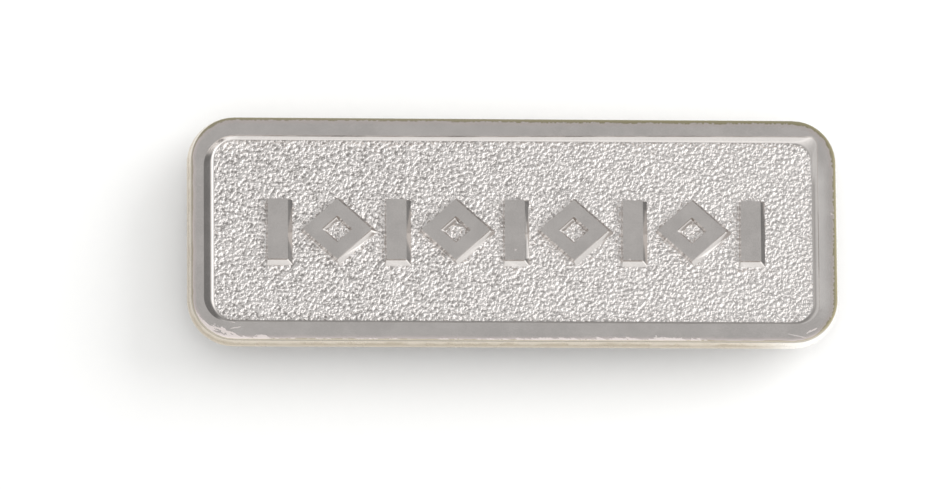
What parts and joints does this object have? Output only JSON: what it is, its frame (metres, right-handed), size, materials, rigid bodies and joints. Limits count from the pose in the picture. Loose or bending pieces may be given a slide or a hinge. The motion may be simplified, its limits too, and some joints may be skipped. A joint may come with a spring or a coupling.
{
  "type": "name badge",
  "caption": "Struck metal name badge: flat rim round a sunk pebbled ground with a raised row of ornament, and a soldered bar pin behind.",
  "frame": {"origin": "under the middle of the badge, on the surface that its pin rests on", "axes": "+X along the badge towards its right end, +Y across it towards its upper edge, +Z out of its face"},
  "size_m": [0.057, 0.0202, 0.0058],
  "materials": {
    "nickel_plating": "polished nickel plating over struck brass, pebbled on the ground and rubbed to the brass on the side wall",
    "pin_steel": "plated steel, slightly dull"
  },
  "bodies": {
    "root": {"badge_plate": "nickel_plating", "pin_back": "pin_steel"}
  },
  "joints": []
}
